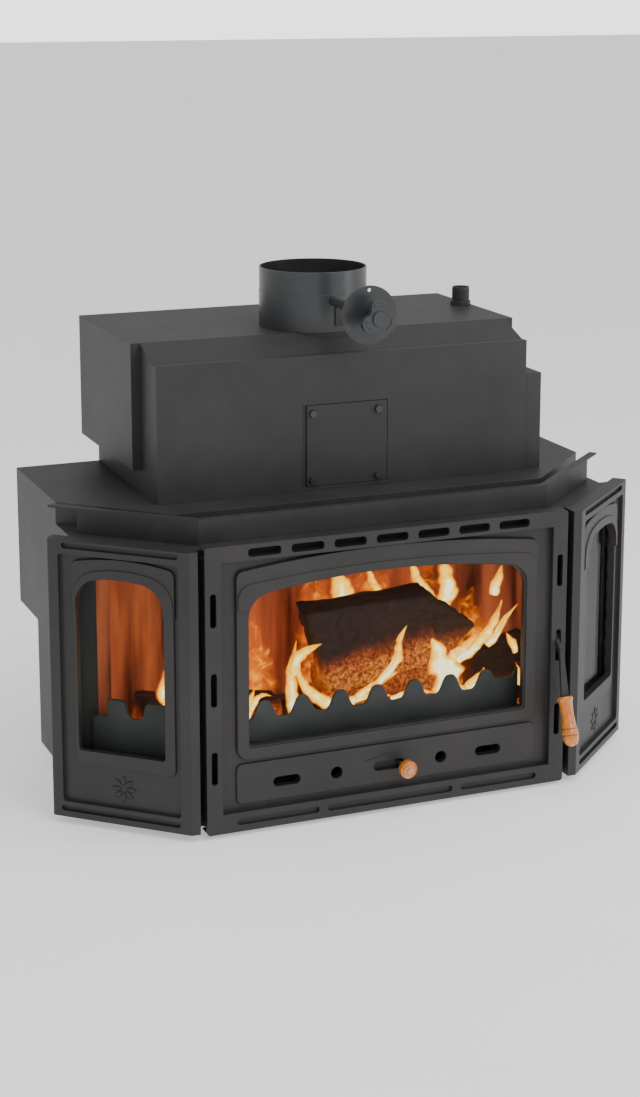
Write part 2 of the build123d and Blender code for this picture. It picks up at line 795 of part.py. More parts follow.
grate_half = 120.0
grate_front = 200.0
grate_back = 350.0
grate_lap = 12.0
with BuildPart() as floor_plate:
    with BuildSketch(level(fire_floor)):
        polygon(inner_bay)
        span(-return_inner, return_inner, face_y + body_front - frame_sheet, face_y + body_front)
        span(-jacket_inner, jacket_inner, face_y + body_front, face_y + jacket_back - body_sheet)
        span(-grate_half + grate_lap, grate_half - grate_lap, face_y + grate_front + grate_lap,
             face_y + grate_back - grate_lap, mode=Mode.SUBTRACT)
    extrude(amount=frame_sheet)
save(floor_plate.part, "floor_plate")

with BuildPart() as return_socket:
    with BuildSketch(front_plane(lower_back)):
        with Locations((-body_half + 110, body_bottom + 60)):
            Circle(22)
            Circle(15.3, mode=Mode.SUBTRACT)
    extrude(amount=-24)
save(return_socket.part, "return_socket")

# Fire parts

with BuildPart() as grate:
    with BuildSketch(level(floor_top)):
        soft_span(-grate_half, grate_half, face_y + grate_front, face_y + grate_back, frame_sheet)
        with Locations(at(0, (grate_front + grate_back) / 2)):
            with GridLocations(22, 1, 9, 1):
                Rectangle(11, grate_back - grate_front - 36, mode=Mode.SUBTRACT)
    extrude(amount=10)
save(grate.part, "grate")

pan_half = 205.0
pan_front = 52.0
pan_back = 390.0
pan_bottom = body_bottom + body_sheet
pan_top = fire_floor - 10.0
with BuildPart() as ash_pan:
    with BuildSketch(level(pan_bottom)):
        span(-pan_half, pan_half, face_y + pan_front, face_y + pan_back)
    extrude(amount=pan_top - pan_bottom)
    with BuildSketch(level(pan_bottom + 2)):
        span(-pan_half + 2, pan_half - 2, face_y + pan_front + 2, face_y + pan_back - 2)
    extrude(amount=pan_top, mode=Mode.SUBTRACT)
save(ash_pan.part, "ash_pan")

brick_top = 475.0
brick_front = jacket_back - body_sheet - brick_thickness
back_brick_count = 8
back_brick_pitch = 2 * jacket_inner / back_brick_count
side_brick_front = 215.0
side_brick_count = 2
side_brick_pitch = (brick_front - side_brick_front) / side_brick_count

with BuildPart() as back_bricks:
    with BuildSketch(level(floor_top)):
        with Locations(at(0, brick_front + brick_thickness / 2)):
            with GridLocations(back_brick_pitch, 1, back_brick_count, 1):
                Rectangle(back_brick_pitch - brick_joint, brick_thickness)
    extrude(amount=brick_top - floor_top)
save(back_bricks.part, "back_bricks")

with BuildPart() as side_bricks:
    with BuildSketch(level(floor_top)):
        for side in (-1, 1):
            middle = at(side * (jacket_inner - brick_thickness / 2), (side_brick_front + brick_front) / 2)
            with Locations(middle):
                with GridLocations(1, side_brick_pitch, 1, side_brick_count):
                    Rectangle(brick_thickness, side_brick_pitch - brick_joint)
    extrude(amount=brick_top - floor_top)
save(side_bricks.part, "side_bricks")

with BuildPart() as smoke_baffle:
    with BuildSketch(level(brick_top)):
        span(-jacket_inner + 6, jacket_inner - 6, face_y + side_brick_front + 35, face_y + jacket_back - body_sheet)
    extrude(amount=6)
save(smoke_baffle.part, "smoke_baffle")


def scalloped(start, end, valleys, shoulder=fence_crest):
    """Fence outline with round valleys between its crests, standing on the firebox floor."""
    with BuildSketch(Plane.XY, mode=Mode.PRIVATE) as outline:
        span(start, end, floor_top, fence_crest)
        if shoulder < fence_crest:
            span(valleys[-1] + fence_pitch / 2 + fence_valley_radius, end, shoulder, fence_crest, mode=Mode.SUBTRACT)
        for valley in valleys:
            with Locations((valley, fence_valley + fence_valley_radius)):
                Circle(fence_valley_radius, mode=Mode.SUBTRACT)
            span(valley - fence_valley_radius, valley + fence_valley_radius,
                 fence_valley + fence_valley_radius, fence_crest, mode=Mode.SUBTRACT)
        tips = [v for v in outline.vertices().filter_by_position(Axis.Y, fence_crest - 1, fence_crest + 1)]
        fillet(tips, fence_valley_radius * 0.6)
    add(outline.sketch)


with BuildPart() as log_fence_front:
    fence_half = fence_pitch * 3.5
    with BuildSketch(front_plane(base_front)):
        scalloped(-fence_half, fence_half, [(i - 2.5) * fence_pitch for i in range(6)])
    extrude(amount=-fence_thickness)
save(log_fence_front.part, "log_fence_front")

with BuildPart() as log_fence:
    side_valley = (panel_window[0] + panel_window[1]) / 2
    with BuildSketch(side_plane(base_front)):
        scalloped(panel_window[0], panel_window[1], [side_valley], fence_valley)
    extrude(amount=-fence_thickness)
save_pair(log_fence.part, "log_fence")

# Neck, upper box with its water tubes, casing, hood and riser

neck_back = body_back - sheet / 2
with BuildPart() as neck_shell:
    with BuildSketch(level(body_top)):
        span(-casing_half, casing_half, face_y + upper_box_front, face_y + neck_back)
        span(-casing_half + sheet, casing_half - sheet, face_y + upper_box_front + sheet,
             face_y + neck_back - sheet, mode=Mode.SUBTRACT)
    extrude(amount=upper_bottom - body_top)
save(neck_shell.part, "neck_shell")

tab_height = 10.0
with BuildPart() as upper_shell:
    with BuildSketch(level(upper_bottom)):
        span(-upper_half, upper_half, face_y + upper_box_front, face_y + upper_box_back)
    extrude(amount=upper_top - upper_bottom)
    with BuildSketch(level(upper_bottom + sheet)):
        span(-upper_half + sheet, upper_half - sheet, face_y + upper_box_front + sheet,
             face_y + upper_box_back - sheet)
    extrude(amount=upper_top - upper_bottom - 2 * sheet, mode=Mode.SUBTRACT)
    with BuildSketch(level(upper_bottom)):
        span(-casing_half + 11, casing_half - 11, face_y + upper_box_front + 8, face_y + body_back - 12)
    extrude(amount=sheet, mode=Mode.SUBTRACT)
    # Round tab that carries the front of the collar, and the smoke hole behind the front wall
    with BuildSketch(level(upper_top - tab_height)):
        Circle(flue_radius)
        span(-flue_radius, flue_radius, face_y + upper_box_front, flue_radius, mode=Mode.SUBTRACT)
    extrude(amount=tab_height)
    with BuildSketch(level(upper_top - sheet)):
        Circle(flue_radius - flue_wall)
        span(-flue_radius, flue_radius, -flue_radius, face_y + upper_box_front + sheet, mode=Mode.SUBTRACT)
    extrude(amount=sheet, mode=Mode.SUBTRACT)
save(upper_shell.part, "upper_shell")

tube_radius = 26.0
tube_spacing = (110.0, 80.0)
tube_depth = 470.0
tube_height = 705.0
with BuildPart() as exchanger_tubes:
    tube_length = 2 * (upper_half - sheet)
    with BuildSketch(Plane.YZ.offset(-tube_length / 2)):
        with Locations((face_y + tube_depth, tube_height)):
            with GridLocations(tube_spacing[0], tube_spacing[1], 2, 2):
                Circle(tube_radius)
    extrude(amount=tube_length)
save(exchanger_tubes.part, "exchanger_tubes")

hatch_left = -79.0
hatch_right = 78.0
hatch_bottom = 557.0
hatch_top = 706.0
hatch_gap = 9.0
hatch_screw_x = (-68.0, 60.0)
hatch_screw_z = (568.0, 691.0)
hatch_screw_radius = 3.0
opening_margin = 25.0

with BuildPart() as front_casing:
    with BuildSketch(level(body_top)):
        span(-casing_half, casing_half, face_y + casing_front, face_y + upper_box_front)
    extrude(amount=casing_top - body_top)
    with BuildSketch(level(body_top)):
        span(-casing_half + sheet, casing_half - sheet, face_y + casing_front + sheet, face_y + upper_box_front)
    extrude(amount=casing_top - body_top - sheet, mode=Mode.SUBTRACT)
    # Flange behind the hatch, and the opening in front of it
    with BuildSketch(front_plane(casing_front + sheet)):
        span(hatch_left - 3 * hatch_gap, hatch_right + 2 * hatch_gap, body_top, hatch_top + 2 * hatch_gap)
    extrude(amount=-sheet)
    with BuildSketch(front_plane(casing_front)):
        span(hatch_left - hatch_gap, hatch_right + 1, hatch_bottom - 1, hatch_top + 1)
    extrude(amount=-sheet, mode=Mode.SUBTRACT)
    with BuildSketch(front_plane(casing_front)):
        soft_span(hatch_left + opening_margin, hatch_right - opening_margin - 6, hatch_bottom + opening_margin,
                  hatch_top - opening_margin, 8)
        with Locations([(x, z) for x in hatch_screw_x for z in hatch_screw_z]):
            Circle(hatch_screw_radius + running_fit)
    extrude(amount=-2 * sheet, mode=Mode.SUBTRACT)
save(front_casing.part, "front_casing")

with BuildPart() as hatch_cover:
    with BuildSketch(front_plane(casing_front + sheet)):
        soft_span(hatch_left, hatch_right, hatch_bottom, hatch_top, 3)
        with Locations([(x, z) for x in hatch_screw_x for z in hatch_screw_z]):
            Circle(hatch_screw_radius, mode=Mode.SUBTRACT)
    extrude(amount=sheet)
save(hatch_cover.part, "hatch_cover")

with BuildPart() as hatch_screws:
    hatch_screw_spots = [(x, z) for x in hatch_screw_x for z in hatch_screw_z]
    with BuildSketch(front_plane(casing_front + 3 * sheet)):
        with Locations(hatch_screw_spots):
            Circle(hatch_screw_radius)
    extrude(amount=3 * sheet)
    with BuildSketch(front_plane(casing_front)):
        with Locations(hatch_screw_spots):
            RegularPolygon(7, 6)
    extrude(amount=6)
save(hatch_screws.part, "hatch_screws")

with BuildPart() as casing_hood:
    slope = [(face_y + hood_front, casing_top), (face_y + upper_box_front, upper_top),
             (face_y + upper_box_front, upper_top - band_sheet),
             (face_y + hood_front + 2 * band_sheet, casing_top)]
    with BuildSketch(Plane.YZ.offset(-casing_half)):
        polygon(slope)
    extrude(amount=2 * casing_half)
    cheek = [(face_y + hood_front, casing_top), (face_y + upper_box_front, upper_top),
             (face_y + upper_box_front, casing_top)]
    for x in (-casing_half, casing_half - band_sheet):
        with BuildSketch(Plane.YZ.offset(x)):
            polygon(cheek)
        extrude(amount=band_sheet)
    with BuildSketch(level(upper_top - tab_height - hinge_gap)):
        Circle(flue_radius + hinge_gap)
    extrude(amount=2 * tab_height, mode=Mode.SUBTRACT)
save(casing_hood.part, "casing_hood")

riser_width = 36.0
riser_front = 212.0
riser_top = 732.0
with BuildPart() as riser_box:
    with BuildSketch(level(body_top)):
        span(casing_half, casing_half + riser_width, face_y + riser_front, face_y + upper_box_front)
        span(casing_half, casing_half + riser_width - sheet, face_y + riser_front + sheet,
             face_y + upper_box_front - sheet, mode=Mode.SUBTRACT)
    extrude(amount=riser_top - body_top)
    with BuildSketch(level(riser_top - sheet)):
        span(casing_half, casing_half + riser_width, face_y + riser_front, face_y + upper_box_front)
    extrude(amount=sheet)
save(riser_box.part, "riser_box")

# Three-sided band above the door with its inward lip

band_top = ledge_top + band_height


def band_line(inward, along):
    """Plan points on the right of the band: front corner and far end, moved inward."""
    half = radians(side_angle) / 2
    corner = (band_half - inward * tan(half), band_depth + inward)
    end = side_point(along, inward, band_half, band_depth)
    return [end, at(*corner)]


def band_strip(width, along):
    """Plan of a strip that follows the band."""
    outer = band_line(0, along)
    inner = band_line(width, along)
    polygon(outer + [(-x, y) for x, y in reversed(outer)] + [(-x, y) for x, y in inner] + inner[::-1])


with BuildPart() as fascia_band:
    with BuildSketch(level(ledge_top)):
        band_strip(band_sheet, band_length)
    extrude(amount=band_height)
    with BuildSketch(level(band_top - band_sheet)):
        band_strip(lip_width, lip_length)
    extrude(amount=band_sheet)
save(fascia_band.part, "fascia_band")

# Threaded outlet stub on top of the upper box

stub_x = upper_half - 21.0
stub_depth = 480.0
stub_radius = 16.6
stub_bore = 13.6
stub_ring = 20.0
ring_height = 8.0
stub_top = 860.0
with BuildPart() as flow_stub:
    with BuildSketch(level(upper_top)):
        with Locations(at(stub_x, stub_depth)):
            Circle(stub_ring)
    extrude(amount=ring_height)
    with BuildSketch(level(upper_top + ring_height)):
        with Locations(at(stub_x, stub_depth)):
            Circle(stub_radius)
    extrude(amount=stub_top - upper_top - ring_height)
    with BuildSketch(level(upper_top)):
        with Locations(at(stub_x, stub_depth)):
            Circle(stub_bore)
    extrude(amount=stub_top - upper_top, mode=Mode.SUBTRACT)
save(flow_stub.part, "flow_stub")

# Flue collar, damper and its long spindle to the front

spigot_step = 0.6
spigot_bottom = rod_z + 11.0
bush_front = -face_y - flue_radius - 6.0
with BuildPart() as flue_collar:
    with BuildSketch(level(upper_top)):
        Circle(flue_radius + spigot_step)
    extrude(amount=spigot_bottom - upper_top)
    with BuildSketch(level(spigot_bottom)):
        Circle(flue_radius)
    extrude(amount=collar_top - spigot_bottom)
    with BuildSketch(level(upper_top)):
        Circle(flue_radius - flue_wall)
    extrude(amount=collar_top - upper_top, mode=Mode.SUBTRACT)
    with BuildSketch(Plane.XZ.offset(-flue_radius - 1)):
        with Locations((0, rod_z)):
            Circle(bush_radius)
    extrude(amount=2 * flue_radius + 2, mode=Mode.SUBTRACT)
save(flue_collar.part, "flue_collar")

with BuildPart() as damper_bushes:
    for inner_end in (flue_radius + 6, -flue_radius + 6):
        with BuildSketch(Plane.XZ.offset(-inner_end)):
            with Locations((0, rod_z)):
                Circle(bush_radius)
                Circle(rod_radius + running_fit, mode=Mode.SUBTRACT)
        extrude(amount=12)
save(damper_bushes.part, "damper_bushes")

with BuildPart() as damper_stop:
    with BuildSketch(level(836)):
        with Locations((11, -flue_radius)):
            Rectangle(15, 8)
        Circle(flue_radius + spigot_step, mode=Mode.SUBTRACT)
    extrude(amount=34)
save(damper_stop.part, "damper_stop")

rod_back = flue_radius + 4.0
plate_radius = flue_radius - flue_wall - damper_clearance
with BuildPart() as damper_rod:
    with BuildSketch(Plane.XZ.offset(-rod_back)):
        with Locations((0, rod_z)):
            Circle(rod_radius)
    extrude(amount=rod_back - face_y - knob_depth)
save(damper_rod.part, "damper_rod")

with BuildPart() as damper_plate:
    with BuildSketch(level(rod_z - damper_thickness / 2)):
        Circle(plate_radius)
        for side in (-1, 1):
            with Locations((0, side * plate_radius)):
                Rectangle(2 * bush_radius + 4, 10, mode=Mode.SUBTRACT)
        # Corners cut away, so that the open plate clears the front wall of the box
        trim_x = rod_z - upper_top - sheet
        for side in (-1, 1):
            trim = sorted((side * trim_x, side * plate_radius))
            span(trim[0], trim[1], -plate_radius, face_y + upper_box_front + 2 * sheet, mode=Mode.SUBTRACT)
    extrude(amount=damper_thickness)
    hub_half = plate_radius - 12
    with BuildSketch(Plane.XZ.offset(-hub_half)):
        with Locations((0, rod_z)):
            Circle(bush_radius)
    extrude(amount=2 * hub_half)
    with BuildSketch(Plane.XZ.offset(-flue_radius)):
        with Locations((0, rod_z)):
            Circle(rod_radius)
    extrude(amount=2 * flue_radius, mode=Mode.SUBTRACT)
save(damper_plate.part, "damper_plate")

with BuildPart() as escutcheon:
    with BuildSketch(front_plane(escutcheon_depth + 2)):
        with Locations((0, rod_z)):
            Circle(escutcheon_radius)
            with PolarLocations(44, 3, start_angle=90):
                Circle(3.5, mode=Mode.SUBTRACT)
    extrude(amount=2)
    sleeve_step = 215.0
    with BuildSketch(front_plane(sleeve_step)):
        with Locations((0, rod_z)):
            Circle(bush_radius + 2)
    extrude(amount=sleeve_step - escutcheon_depth - 2)
    with BuildSketch(front_plane(bush_front)):
        with Locations((0, rod_z)):
            Circle(bush_radius)
    extrude(amount=bush_front - sleeve_step)
    with BuildSketch(front_plane(bush_front)):
        with Locations((0, rod_z)):
            Circle(rod_radius + running_fit)
    extrude(amount=bush_front - escutcheon_depth, mode=Mode.SUBTRACT)
save(escutcheon.part, "escutcheon")

knob_thickness = 12.0
with BuildPart() as damper_knob:
    with BuildSketch(front_plane(knob_depth + knob_thickness)) as knob_outline:
        with Locations((0, rod_z)):
            Circle(19)
            with PolarLocations(18.5, 3, start_angle=90):
                Circle(15)
        fillet(knob_outline.vertices(), 8)
        with Locations((0, rod_z)):
            Circle(rod_radius, mode=Mode.SUBTRACT)
    extrude(amount=knob_thickness)
    with BuildSketch(front_plane(knob_depth)):
        with Locations((0, rod_z)):
            Circle(13)
    extrude(amount=4)
save(damper_knob.part, "damper_knob")
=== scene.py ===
"""Looks of the boiler fireplace: painted sheet and cast iron, fire glass, firebrick, wood and fire.

The tables give millimetres; spot() and side_spot() turn them into metres in the CAD frame.
"""
import json
import math
import random

import bmesh
import bpy
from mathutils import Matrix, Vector, noise


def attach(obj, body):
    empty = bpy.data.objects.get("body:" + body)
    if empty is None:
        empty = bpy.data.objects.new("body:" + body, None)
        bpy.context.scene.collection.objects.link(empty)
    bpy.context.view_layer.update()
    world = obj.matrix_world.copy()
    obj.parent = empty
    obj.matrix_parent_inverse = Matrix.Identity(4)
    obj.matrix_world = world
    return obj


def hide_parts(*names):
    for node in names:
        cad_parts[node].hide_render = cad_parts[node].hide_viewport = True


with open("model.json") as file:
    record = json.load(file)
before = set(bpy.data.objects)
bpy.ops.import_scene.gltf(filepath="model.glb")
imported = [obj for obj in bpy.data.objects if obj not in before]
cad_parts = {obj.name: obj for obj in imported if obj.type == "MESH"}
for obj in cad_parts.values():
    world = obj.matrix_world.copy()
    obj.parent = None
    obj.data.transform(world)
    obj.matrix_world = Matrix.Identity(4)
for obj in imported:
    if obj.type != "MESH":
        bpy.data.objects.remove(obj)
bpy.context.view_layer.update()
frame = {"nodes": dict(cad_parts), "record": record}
nodes = frame["nodes"]

MM = 0.001
DOOR_FACE = -373                  # y of the front face of the door
SIDE_CORNER = 373                 # x of the front corner of a side panel
SIDE_ANGLE = math.radians(42.6)   # how far a side panel turns back


def spot(x, depth, z):
    """A point from millimetres: x, the depth behind the face of the door, and the height."""
    return Vector((x * MM, (DOOR_FACE + depth) * MM, z * MM))


def side_spot(outward, inward, z, side):
    """A point of a side panel: outward from its front corner, inward of its face, and height."""
    x = SIDE_CORNER + outward * math.cos(SIDE_ANGLE) - inward * math.sin(SIDE_ANGLE)
    return spot(side * x, outward * math.sin(SIDE_ANGLE) + inward * math.cos(SIDE_ANGLE), z)


# Camera at the photograph's viewing angle: from 22 degrees to the left, looking 12 degrees down
camera_data = bpy.data.cameras.new("camera")
camera_data.lens = 68.6
camera_data.sensor_width = 36
camera_data.shift_y = -0.1354
camera_data.clip_end = 200
camera = bpy.data.objects.new("camera", camera_data)
camera.location = (-1.4304, -3.5763, 1.4696)
camera.rotation_euler = (math.radians(78.4), 0, math.radians(-22.0))
bpy.context.scene.collection.objects.link(camera)
bpy.context.scene.camera = camera


# Materials

def linear(hex_colour):
    """sRGB hex to the linear colour that a shader wants."""
    parts = [int(hex_colour[i:i + 2], 16) / 255 for i in (1, 3, 5)]
    return tuple(c / 12.92 if c <= 0.04045 else ((c + 0.055) / 1.055) ** 2.4
                 for c in parts) + (1.0,)


def size_mm(length):
    """Texture scale, in features per metre, for a feature of this many millimetres."""
    return 1000 / length


def new_material(name):
    material = bpy.data.materials.new(name)
    material.use_nodes = True
    return material, material.node_tree, material.node_tree.nodes["Principled BSDF"]


def set_inputs(node, inputs):
    """Give each named input of a node its value, or link it to another node's output."""
    for key, value in inputs.items():
        if isinstance(value, bpy.types.NodeSocket):
            node.id_data.links.new(value, node.inputs[key])
        else:
            node.inputs[key].default_value = value


def add(tree, kind, settings=None, inputs=None):
    """Add a node with its settings and inputs; "stops" are the places and hex colours of a ramp."""
    node = tree.nodes.new(kind)
    for key, value in (settings or {}).items():
        if key != "stops":
            setattr(node, key, value)
            continue
        elements = node.color_ramp.elements
        while len(elements) < len(value):
            elements.new(0.5)
        for element, (position, hex_colour) in zip(elements, value):
            element.position = position
            element.color = linear(hex_colour)
    set_inputs(node, inputs or {})
    return node


def painted(name, dark, light, roughness, grain, bump, round_edge, shine):
    """Spray paint: slow drift of colour, smudges, a grain in millimetres, and rounded edges."""
    material, tree, shader = new_material(name)
    place = add(tree, "ShaderNodeTexCoord").outputs["Object"]
    drift = add(tree, "ShaderNodeTexNoise", None,
                {"Vector": place, "Scale": size_mm(180), "Detail": 3.0})
    smudge = add(tree, "ShaderNodeTexNoise", None,
                 {"Vector": place, "Scale": size_mm(35), "Detail": 5.0})
    grains = add(tree, "ShaderNodeTexNoise", None,
                 {"Vector": place, "Scale": size_mm(grain), "Detail": 2.0})
    mixed = add(tree, "ShaderNodeMath", {"operation": "MULTIPLY_ADD"},
                {0: smudge.outputs["Fac"], 1: 0.45, 2: drift.outputs["Fac"]}).outputs[0]
    colour = add(tree, "ShaderNodeValToRGB", {"stops": ((0.45, dark), (1.0, light))},
                 {"Fac": mixed})
    rough = add(tree, "ShaderNodeMapRange", None,
                {"Value": mixed, "From Min": 0.4, "From Max": 1.0,
                 "To Min": roughness - 0.05, "To Max": roughness + 0.06})
    rounded = add(tree, "ShaderNodeBevel", {"samples": 4}, {"Radius": round_edge * MM})
    raised = add(tree, "ShaderNodeBump", None,
                 {"Strength": bump, "Distance": 0.25 * MM, "Height": grains.outputs["Fac"],
                  "Normal": rounded.outputs["Normal"]})
    set_inputs(shader, {"Base Color": colour.outputs["Color"], "Roughness": rough.outputs["Result"],
                        "Specular IOR Level": shine, "Normal": raised.outputs["Normal"]})
    return material


# Silicone stove paint on rolled sheet: near-black and satin, with an orange peel that softens the
# light. The real peel is about 1 mm across and is drawn at 2.5 mm, so that it shows.
stove_paint = painted("satin_stove_paint_on_sheet",
                      "#2f2f2f", "#3c3b3b", 0.5, 2.5, 0.25, 1.2, 0.3)
# The same paint on sand-cast iron: a shade warmer, edges rounder, and the mould's sand shows
# through as a 1.6 mm grain
cast_paint = painted("satin_stove_paint_on_cast_iron",
                     "#262524", "#333130", 0.46, 1.6, 0.4, 1.6, 0.4)
# A thicker coat on the collar and the damper's parts: smoother, with a clearer highlight
collar_paint = painted("glossy_stove_paint_on_collar",
                       "#26282a", "#343638", 0.3, 4.0, 0.12, 0.8, 0.6)
# Unpainted cast iron that the fire has greyed: dull, with a coarse 2 mm grain
bare_iron = painted("heat_greyed_cast_iron",
                    "#3a3c3d", "#535556", 0.55, 2.0, 0.7, 1.2, 0.3)


def glass_material():
    """Polished ceramic fire glass: clear and colourless, with a breath of haze in 90 mm clouds.

    Its index is set low, because the real pane's coat leaves hardly any glare.
    """
    material, tree, shader = new_material("clear_ceramic_glass")
    place = add(tree, "ShaderNodeTexCoord").outputs["Object"]
    haze = add(tree, "ShaderNodeTexNoise", None,
               {"Vector": place, "Scale": size_mm(90), "Detail": 3.0})
    rough = add(tree, "ShaderNodeMapRange", None,
                {"Value": haze.outputs["Fac"], "To Min": 0.0, "To Max": 0.04})
    set_inputs(shader, {"Base Color": linear("#f4f6f4"), "Roughness": rough.outputs["Result"],
                        "IOR": 1.08, "Transmission Weight": 1.0})
    return material


def rope_material():
    """Braided mineral rope: dark grey strands, fully matte.

    At this scale the wave repeats every 22 mm, because strands 3 mm apart wouldn't show.
    """
    material, tree, shader = new_material("braided_mineral_rope")
    place = add(tree, "ShaderNodeTexCoord").outputs["Object"]
    strands = add(tree, "ShaderNodeTexWave", {"bands_direction": "DIAGONAL"},
                  {"Vector": place, "Scale": size_mm(60), "Distortion": 1.5, "Detail": 2.0})
    colour = add(tree, "ShaderNodeValToRGB", {"stops": ((0.2, "#1d1c1b"), (0.9, "#4a4744"))},
                 {"Fac": strands.outputs["Fac"]})
    raised = add(tree, "ShaderNodeBump", None,
                 {"Strength": 0.8, "Distance": 0.6 * MM, "Height": strands.outputs["Fac"]})
    set_inputs(shader, {"Base Color": colour.outputs["Color"], "Roughness": 0.95,
                        "Normal": raised.outputs["Normal"]})
    return material


def brick_material():
    """Fired clay: upright sooty streaks, 3 mm grit, and a painted glow of the fire's light."""
    material, tree, shader = new_material("fired_clay_with_painted_fire_glow")
    place = add(tree, "ShaderNodeTexCoord").outputs["Object"]
    upright = add(tree, "ShaderNodeMapping", None, {"Vector": place, "Scale": (1.0, 1.0, 0.12)})
    streak = add(tree, "ShaderNodeTexNoise", None,
                 {"Vector": upright.outputs["Vector"], "Scale": size_mm(45), "Detail": 4.0})
    grit = add(tree, "ShaderNodeTexNoise", None,
               {"Vector": place, "Scale": size_mm(3), "Detail": 3.0})
    clay = add(tree, "ShaderNodeValToRGB",
               {"stops": ((0.3, "#3a1c12"), (0.45, "#8a4423"), (0.62, "#b7622f"))},
               {"Fac": streak.outputs["Fac"]})
    # Painted light: the fire's glow on the bricks, as orange emission that is dimmer on soot
    glow = add(tree, "ShaderNodeValToRGB",
               {"stops": ((0.36, "#240c06"), (0.5, "#84402a"), (0.7, "#c06438"))},
               {"Fac": streak.outputs["Fac"]})
    raised = add(tree, "ShaderNodeBump", None,
                 {"Strength": 0.5, "Distance": 0.6 * MM, "Height": grit.outputs["Fac"]})
    set_inputs(shader, {"Base Color": clay.outputs["Color"], "Roughness": 0.9,
                        "Emission Color": glow.outputs["Color"], "Emission Strength": 0.62,
                        "Normal": raised.outputs["Normal"]})
    return material


def wood_material(name, light, dark):
    """Turned beech under clear varnish: growth lines 2.5 mm apart, drawn out upright, glossy."""
    material, tree, shader = new_material(name)
    place = add(tree, "ShaderNodeTexCoord").outputs["Object"]
    upright = add(tree, "ShaderNodeMapping", None, {"Vector": place, "Scale": (1.0, 1.0, 0.15)})
    grain = add(tree, "ShaderNodeTexNoise", None,
                {"Vector": upright.outputs["Vector"], "Scale": size_mm(2.5), "Detail": 5.0,
                 "Distortion": 0.4})
    cloud = add(tree, "ShaderNodeTexNoise", None,
                {"Vector": place, "Scale": size_mm(30), "Detail": 2.0})
    mixed = add(tree, "ShaderNodeMath", {"operation": "MULTIPLY_ADD"},
                {0: cloud.outputs["Fac"], 1: 0.4, 2: grain.outputs["Fac"]}).outputs[0]
    colour = add(tree, "ShaderNodeValToRGB", {"stops": ((0.5, dark), (0.95, light))},
                 {"Fac": mixed})
    raised = add(tree, "ShaderNodeBump", None,
                 {"Strength": 0.08, "Distance": 0.2 * MM, "Height": grain.outputs["Fac"]})
    set_inputs(shader, {"Base Color": colour.outputs["Color"], "Roughness": 0.35,
                        "Coat Weight": 1.0, "Coat Roughness": 0.08,
                        "Normal": raised.outputs["Normal"]})
    return material


def steel_material():
    """Plain steel off the lathe: pale grey, slightly dulled, its marks drawn 0.8 mm coarse."""
    material, tree, shader = new_material("plain_turned_steel")
    place = add(tree, "ShaderNodeTexCoord").outputs["Object"]
    marks = add(tree, "ShaderNodeTexNoise", None,
                {"Vector": place, "Scale": size_mm(0.8), "Detail": 2.0})
    colour = add(tree, "ShaderNodeValToRGB", {"stops": ((0.3, "#8d8e90"), (0.8, "#b9babb"))},
                 {"Fac": marks.outputs["Fac"]})
    rough = add(tree, "ShaderNodeMapRange", None,
                {"Value": marks.outputs["Fac"], "To Min": 0.25, "To Max": 0.45})
    set_inputs(shader, {"Base Color": colour.outputs["Color"], "Metallic": 1.0,
                        "Roughness": rough.outputs["Result"]})
    return material


def charred_material():
    """Split wood burnt to charcoal: black and fibrous, with 6 mm cells that glow where hot."""
    material, tree, shader = new_material("charred_split_wood")
    place = add(tree, "ShaderNodeTexCoord").outputs["Object"]
    heat = add(tree, "ShaderNodeAttribute", {"attribute_name": "fire_heat"}).outputs["Fac"]
    fibre = add(tree, "ShaderNodeTexNoise", None,
                {"Vector": place, "Scale": size_mm(9), "Detail": 6.0, "Roughness": 0.7})
    bent = add(tree, "ShaderNodeVectorMath", {"operation": "MULTIPLY_ADD"},
               {0: fibre.outputs["Color"], 1: (0.02, 0.02, 0.02), 2: place}).outputs[0]
    cells = add(tree, "ShaderNodeTexVoronoi", {"feature": "F1"},
                {"Vector": bent, "Scale": size_mm(6)})
    speckle = add(tree, "ShaderNodeMapRange", None,
                  {"Value": cells.outputs["Distance"], "From Min": 0.1, "From Max": 0.7,
                   "To Min": 0.3, "To Max": -0.25})
    warmth = add(tree, "ShaderNodeMath", {"operation": "MULTIPLY_ADD"},
                 {0: fibre.outputs["Fac"], 1: 1.1, 2: speckle.outputs["Result"]}).outputs[0]
    warmth = add(tree, "ShaderNodeMath", {"operation": "MULTIPLY"},
                 {0: warmth, 1: heat}).outputs[0]
    coal = add(tree, "ShaderNodeValToRGB", {"stops": ((0.35, "#221715"), (0.7, "#46322b"))},
               {"Fac": fibre.outputs["Fac"]})
    glow = add(tree, "ShaderNodeValToRGB",
               {"stops": ((0.0, "#1a0b07"), (0.3, "#7a2c0c"), (0.6, "#d0601a"), (1.0, "#ffac40"))},
               {"Fac": warmth})
    raised = add(tree, "ShaderNodeBump", None,
                 {"Strength": 0.9, "Distance": 2.0 * MM, "Height": fibre.outputs["Fac"]})
    set_inputs(shader, {"Base Color": coal.outputs["Color"], "Roughness": 0.85,
                        "Emission Color": glow.outputs["Color"], "Emission Strength": 0.9,
                        "Normal": raised.outputs["Normal"]})
    return material


